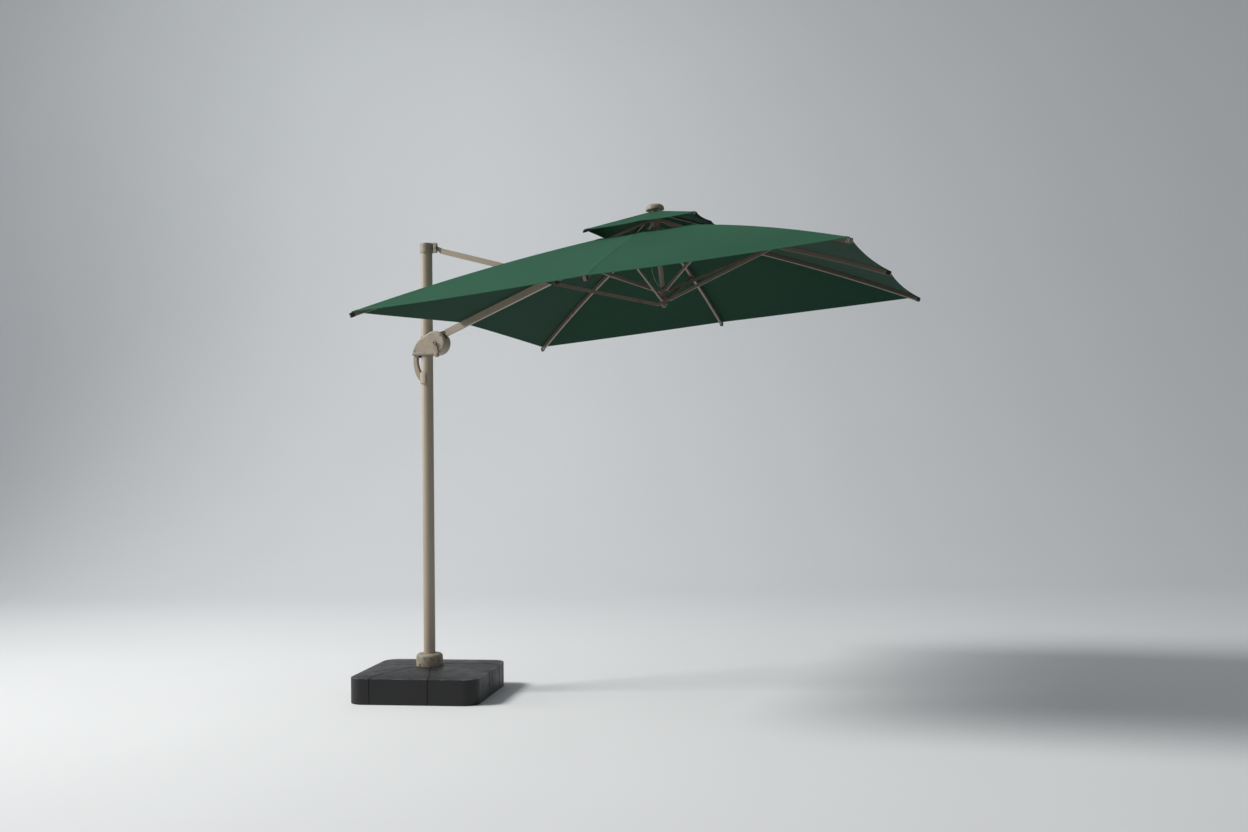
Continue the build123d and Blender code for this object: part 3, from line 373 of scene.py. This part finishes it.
def make_cord():
    data = bpy.data.curves.new("lift_cord", "CURVE")
    data.dimensions = "3D"
    data.bevel_depth, data.bevel_resolution, data.resolution_u = CORD_R, 6, 12
    spline = data.splines.new("NURBS")
    spline.points.add(len(CORD_ROUTE) - 1)
    for point, (radius, height) in zip(spline.points, CORD_ROUTE):
        point.co = (*hub_point(*turned(radius, 0.0, CORD_TURN), height), 1.0)
    spline.order_u = 3
    spline.use_endpoint_u = True
    data.materials.append(looks["cord_braid"])
    cord = bpy.data.objects.new("lift_cord", data)
    bpy.context.scene.collection.objects.link(cord)
    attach(cord, "hub")
    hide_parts("hub_cord")


make_cord()


# =====================================================================================
# Canopy cloth
# =====================================================================================
CLOTH = 0.0009                   # thickness of one layer
HEM, HEM_FOLD = 0.020, 0.0016    # width of the turned hem, and its thickness
TAPE, TAPE_RISE = 0.0095, 0.0003
SCALLOP, DROOP = 0.017, 0.009
VENT_SCALLOP, VENT_DROOP = 0.008, 0.004
SLIT_FADE = 0.20                 # how far from the seam the cloth still moves aside for the slit
UNDER_MID, UNDER_CORNER, UNDER_BOOM = 0.0020, 0.0042, 0.0010


def rib_height(radius, tip, bow):
    share = (radius - HINGE_R) / (tip[0] - HINGE_R)
    return CROWN_Z + (tip[1] - CROWN_Z) * share + 4 * bow * share * (1 - share)


boom_pin = joint_at("hub_pivot")
boom_tan = math.tan(math.radians(BOOM_SLOPE))


def boom_axis(x):
    return Vector((x, 0.0, boom_pin.z + BOOM_ABOVE_HUB_PIN - (boom_pin.x - x) * boom_tan))


def boom_top(reach):
    """Height of the boom's upper face in the hub's frame, at a distance left of the hub's axis."""
    ends = [boom_axis(x) - HUB for x in (0.2, 1.2)]
    (x0, z0), (x1, z1) = ((p.dot(OUT), p.dot(UP)) for p in ends)
    slope = (z1 - z0) / (x1 - x0)
    return z0 + slope * (-reach - x0) + BOOM_H / 2 * math.sqrt(1 + slope * slope) + UNDER_BOOM


def ridge(reach, turn):
    """Height of the cloth's underside over a rib, at a square distance from the hub's axis."""
    if turn % 360 == 180:
        return boom_top(reach)
    if turn % 90 == 45:
        return rib_height(reach * math.sqrt(2), CORNER_TIP, CORNER_BOW) + RIB_H / 2 + UNDER_CORNER
    return rib_height(reach, MID_TIP, MID_BOW) + RIB_H / 2 + UNDER_MID


def cloth_point(reach, share, side_turn, toward):
    """A point of the stretched cloth between a side's middle (share 0) and its corner (share 1)."""
    low, high = ridge(reach, side_turn), ridge(reach, side_turn + 45 * toward)
    outward = (reach - OPENING) / (HALF - OPENING)
    slack = 4 * share * (1 - share)
    pulled = reach - SCALLOP * slack * outward**3
    height = low + (high - low) * share - DROOP * slack * math.sin(math.pi * (0.15 + 0.7 * outward))
    x, y = turned(pulled, toward * share * pulled, side_turn)
    return hub_point(x, y, height)


def spread(start, end, count):
    return [start + (end - start) * i / (count - 1) for i in range(count)]


def sheet_mesh(name, columns):
    """A closed thin mesh from columns of (under, over, (u, v)) points, one list for each column."""
    mesh = bmesh.new()
    uv = mesh.loops.layers.uv.new("UVMap")
    layers = [[[mesh.verts.new(point[side]) for point in column] for column in columns] for side in (0, 1)]
    where = {}
    for layer in layers:
        for verts, column in zip(layer, columns):
            for vert, point in zip(verts, column):
                where[vert] = point[2]

    def face(*verts):
        for loop in mesh.faces.new(verts).loops:
            loop[uv].uv = where[loop.vert]

    under, over = layers
    wide, long = len(columns), len(columns[0])
    for j in range(wide - 1):
        for i in range(long - 1):
            face(under[j][i], under[j][i + 1], under[j + 1][i + 1], under[j + 1][i])
            face(over[j][i], over[j + 1][i], over[j + 1][i + 1], over[j][i + 1])
    rim = [(0, i) for i in range(long - 1)] + [(j, long - 1) for j in range(wide - 1)]
    rim += [(wide - 1, i) for i in range(long - 1, 0, -1)] + [(j, 0) for j in range(wide - 1, 0, -1)]
    for (j, i), (k, m) in zip(rim, rim[1:] + rim[:1]):
        face(under[j][i], over[j][i], over[k][m], under[k][m])
        for layer in layers:
            mesh.edges.get((layer[j][i], layer[k][m])).smooth = False
    bmesh.ops.recalc_face_normals(mesh, faces=mesh.faces)
    return mesh


def cloth_rows():
    """Square distances of the rows, with the thickness added at the hems."""
    inner = OPENING + HEM * 0.9
    rows = [(OPENING, 0.0), (OPENING + 0.0015, HEM_FOLD), (inner, HEM_FOLD), (inner + 0.0015, 0.0)]
    rows += [(reach, 0.0) for reach in spread(inner + 0.02, HALF - HEM - 0.02, 40)]
    rows += [(HALF - HEM - 0.0015, 0.0), (HALF - HEM, HEM_FOLD), (HALF - 0.0015, HEM_FOLD), (HALF, 0.0)]
    return rows


def gore_columns(turn, side):
    """Columns of one half of a gore, from its rib's seam to the join with the next gore."""
    at_corner = turn % 90 == 45
    side_turn, toward = (turn - 45 * side, side) if at_corner else (turn, side)
    columns = []
    near = ((0.0, TAPE_RISE), (TAPE, TAPE_RISE), (TAPE + 0.0012, 0.0))
    steps = list(near) + [(share, None) for share in spread(0.06, 1.0, 13)]
    for place, rise in steps:
        column = []
        for reach, fold in cloth_rows():
            width = (1 - SEAM if at_corner else SEAM) * reach
            if rise is None:
                across, lift = place * width, 0.0
            else:
                across, lift = place, rise
            share = 1 - across / reach if at_corner else across / reach
            under = cloth_point(reach, share, side_turn, toward)
            over = under + UP * (CLOTH + fold + lift)
            column.append((under, over, (side * across, HALF - reach)))
        columns.append(column)
    return columns


def half_cut(columns):
    """Width, length and area of half a gore laid flat, its rib along the length.

    Measured along the cloth: down the rib, along the hem and along the inner edge.
    """
    seam = [point[0] for point in columns[0]]
    inner, hem = ([column[row][0] for column in columns] for row in (0, -1))
    down, top, bottom = (sum((b - a).length for a, b in zip(line, line[1:])) for line in (seam, inner, hem))
    angle = (seam[0] - seam[-1]).angle(hem[-1] - hem[0])
    width, length = bottom * math.sin(angle), down + top * max(0.0, math.cos(angle))
    return width, length, (top + bottom) / 2 * down * math.sin(angle)


def cut_of(one_side, other_side):
    """Width, length and area of a whole gore laid flat, from the columns of its halves."""
    (width, length, area), (width_2, length_2, area_2) = half_cut(one_side), half_cut(other_side)
    return width + width_2, max(length, length_2), area + area_2


def finish_sheet(mesh, name, body, node):
    data = bpy.data.meshes.new(name)
    bmesh.ops.remove_doubles(mesh, verts=mesh.verts, dist=1e-6)
    bmesh.ops.recalc_face_normals(mesh, faces=mesh.faces)
    mesh.to_mesh(data)
    mesh.free()
    data.polygons.foreach_set("use_smooth", [True] * len(data.polygons))
    data.materials.append(looks["canopy_cloth"])
    sheet = bpy.data.objects.new(name, data)
    bpy.context.scene.collection.objects.link(sheet)
    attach(sheet, body)
    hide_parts(node)
    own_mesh(sheet)
    return sheet


def make_gore(name, turn, body):
    right, left = gore_columns(turn, -1), gore_columns(turn, 1)
    width, length, area = cut_of(right, left)
    if name == "boom":
        area -= math.pi / 4 * (SLIT_END - SLIT_START) * SLIT_WIDTH
        right, left = (slit_side(columns, side) for columns, side in ((right, -1), (left, 1)))
        mesh = sheet_mesh(name, right[::-1])
        other = sheet_mesh(name, left)
        spare = bpy.data.meshes.new("half_gore")
        other.to_mesh(spare)
        mesh.from_mesh(spare)
        other.free()
        bpy.data.meshes.remove(spare)
        remove_inner_walls(mesh)
    else:
        mesh = sheet_mesh(name, right[::-1] + left[1:])
    sheet = finish_sheet(mesh, f"cloth_{name}", body, f"canopy_{name}")


def slit_side(columns, side):
    """Moves the seam columns aside where the upper strut comes through the cloth."""
    middle = (SLIT_START + SLIT_END) / 2
    shifted = []
    for column in columns:
        new = []
        for under, over, uv in column:
            off = (under.x - middle) / ((SLIT_END - SLIT_START) / 2)
            gap = SLIT_WIDTH / 2 * math.sqrt(max(0.0, 1 - off * off))
            fade = max(0.0, 1 - abs(uv[0]) / SLIT_FADE)
            move = Vector((0.0, -side * gap * fade, 0.0))
            new.append((under + move, over + move, uv))
        shifted.append(new)
    return shifted


def remove_inner_walls(mesh):
    """Joins the two halves along the boom wherever the slit is closed, and drops the doubled walls."""
    bmesh.ops.remove_doubles(mesh, verts=mesh.verts, dist=1e-6)
    seen, doubled = {}, set()
    for face in mesh.faces:
        key = frozenset(vert.index for vert in face.verts)
        if key in seen:
            doubled.update((face, seen[key]))
        seen[key] = face
    bmesh.ops.delete(mesh, geom=list(doubled), context="FACES_ONLY")


def make_vent(name, turn):
    rows = [(VENT_EYE, 0.0)] + [(reach, 0.0) for reach in spread(0.05, VENT_HALF - HEM - 0.004, 12)]
    rows += [(VENT_HALF - HEM - 0.0015, 0.0), (VENT_HALF - HEM, HEM_FOLD),
             (VENT_HALF - 0.0015, HEM_FOLD), (VENT_HALF, 0.0)]
    columns = []
    shares = [(-1, share) for share in spread(0.0, 0.94, 10)] + [(-1, None), (0, 1.0), (1, None)]
    shares += [(1, share) for share in spread(0.94, 0.0, 10)]
    for side, share in shares:
        column = []
        for reach, fold in rows:
            along = 1 - TAPE / reach if share is None else share
            slack = 4 * along * (1 - along)
            outward = reach / VENT_HALF
            pulled = reach - VENT_SCALLOP * slack * outward**3
            height = VENT_APEX - VENT_DROP * outward - VENT_DROOP * slack * outward
            x, y = (pulled, along * pulled) if side < 0 else (along * pulled, pulled)
            under = hub_point(*turned(x, y, turn - 45), height)
            lift = TAPE_RISE if share is None or side == 0 else 0.0
            over = under + UP * (CLOTH + fold + lift)
            column.append((under, over, (side * (1 - along) * reach, VENT_HALF - reach)))
        columns.append(column)
    mesh = sheet_mesh(name, columns)
    sheet = finish_sheet(mesh, f"vent_cloth_{name}", f"vent_rib_{name}", f"vent_{name}")


for gore_name, gore_turn in AZIMUTHS.items():
    make_gore(gore_name, gore_turn, f"rib_{gore_name}")
    if gore_turn % 90 == 45:
        make_vent(gore_name, gore_turn)
make_gore("boom", 180, "boom")


# =====================================================================================
# Black end caps that the cloth's corner pockets hook over
# =====================================================================================
def rounded_block(name, body, look, centre, along, up, size, bevel):
    """A block with rounded edges, its length along one direction and its height along another."""
    side = up.cross(along).normalized()
    top = along.cross(side).normalized()
    mesh = bmesh.new()
    bmesh.ops.create_cube(mesh, size=1.0)
    bmesh.ops.scale(mesh, vec=Vector(size), verts=mesh.verts)
    bmesh.ops.bevel(mesh, geom=mesh.edges, offset=bevel, segments=4, profile=0.6, affect="EDGES")
    turn = Matrix((along.normalized(), side, top)).transposed().to_4x4()
    bmesh.ops.transform(mesh, matrix=Matrix.Translation(centre) @ turn, verts=mesh.verts)
    data = bpy.data.meshes.new(name)
    mesh.to_mesh(data)
    mesh.free()
    data.polygons.foreach_set("use_smooth", [True] * len(data.polygons))
    data.materials.append(looks[look])
    piece = bpy.data.objects.new(name, data)
    bpy.context.scene.collection.objects.link(piece)
    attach(piece, body)


def rib_place(tip, bow, turn, radius):
    x, y = turned(radius, 0.0, turn)
    return hub_point(x, y, rib_height(radius, tip, bow))


CAP_SIZE, VENT_CAP_SIZE, CAP_EDGE = (0.024, 0.019, 0.025), (0.026, 0.014, 0.013), 0.003
for rib_name, rib_turn in AZIMUTHS.items():
    tip, bow = (CORNER_TIP, CORNER_BOW) if rib_turn % 90 == 45 else (MID_TIP, MID_BOW)
    end, before = (rib_place(tip, bow, rib_turn, tip[0] - back) for back in (0.0, 0.020))
    direction = (end - before).normalized()
    rounded_block(f"tip_cap_{rib_name}", f"rib_{rib_name}", "dark_plastic",
                  end + direction * 0.001, direction, UP, CAP_SIZE, CAP_EDGE)
    if rib_turn % 90 == 45:
        reach = VENT_HALF * math.sqrt(2) - 0.006
        slope = -VENT_DROP / (VENT_HALF * math.sqrt(2))
        x, y = turned(reach, 0.0, rib_turn)
        direction = (hub_point(*turned(1.0, 0.0, rib_turn), slope) - HUB).normalized()
        rounded_block(f"vent_cap_{rib_name}", f"vent_rib_{rib_name}", "dark_plastic",
                      hub_point(x, y, VENT_APEX - VENT_DROP - 0.0075), direction, UP,
                      VENT_CAP_SIZE, CAP_EDGE)


# =====================================================================================
# Stage: a pale floor that sweeps up into a backdrop, and soft studio light
# =====================================================================================
def make_stage():
    mesh = bmesh.new()
    profile = [(-14.0, 0.0), (5.5, 0.0)]
    profile += [(5.5 + 4 * math.sin(a), 4 - 4 * math.cos(a)) for a in spread(0.0, math.pi / 2, 25)[1:]]
    profile += [(9.5, 14.0)]
    ahead = Vector((math.sin(math.radians(CAMERA_YAW)), math.cos(math.radians(CAMERA_YAW)), 0.0))
    right = Vector((ahead.y, -ahead.x, 0.0))
    rows = [[mesh.verts.new(ahead * y + right * x + Vector((0, 0, z))) for x in (-22.0, 22.0)]
            for y, z in profile]
    for low, high in zip(rows, rows[1:]):
        mesh.faces.new((low[0], low[1], high[1], high[0]))
    bmesh.ops.recalc_face_normals(mesh, faces=mesh.faces)
    data = bpy.data.meshes.new("backdrop")
    mesh.to_mesh(data)
    mesh.free()
    data.polygons.foreach_set("use_smooth", [True] * len(data.polygons))
    s = Shader("backdrop_paper", roughness=0.9, Specular_IOR_Level=0.1)
    data.materials.append(s.done(s.mix(s.noise(0.7, 2.0), (0.76, 0.775, 0.785), (0.79, 0.805, 0.815))))
    backdrop = bpy.data.objects.new("backdrop", data)
    bpy.context.scene.collection.objects.link(backdrop)


def area_light(name, at, aim, size, power, colour, spread):
    data = bpy.data.lights.new(name, "AREA")
    data.shape, data.size, data.energy, data.color = "DISK", size, power, colour
    data.spread = math.radians(spread)
    light = bpy.data.objects.new(name, data)
    light.location = at
    light.rotation_mode = "QUATERNION"
    light.rotation_quaternion = (Vector(aim) - Vector(at)).to_track_quat("-Z", "Y")
    bpy.context.scene.collection.objects.link(light)


make_stage()
area_light("key", (-8.4, -5.1, 10.0), (2.7, -0.1, 0.8), 4.4, 660.0, (1.0, 0.985, 0.96), 105.0)
area_light("side", (-8.5, -1.6, 3.2), (0.8, 0.0, 1.8), 3.0, 25.0, (1.0, 0.985, 0.965), 60.0)
area_light("wall", (-3.6, 1.4, 8.0), (-4.2, 9.0, 3.4), 5.0, 130.0, (0.97, 0.985, 1.0), 140.0)
world = bpy.data.worlds.new("studio")
world.use_nodes = True
world.node_tree.nodes["Background"].inputs["Color"].default_value = (0.80, 0.84, 0.88, 1.0)
world.node_tree.nodes["Background"].inputs["Strength"].default_value = 0.30
bpy.context.scene.world = world
bpy.context.scene.view_settings.view_transform = "Standard"
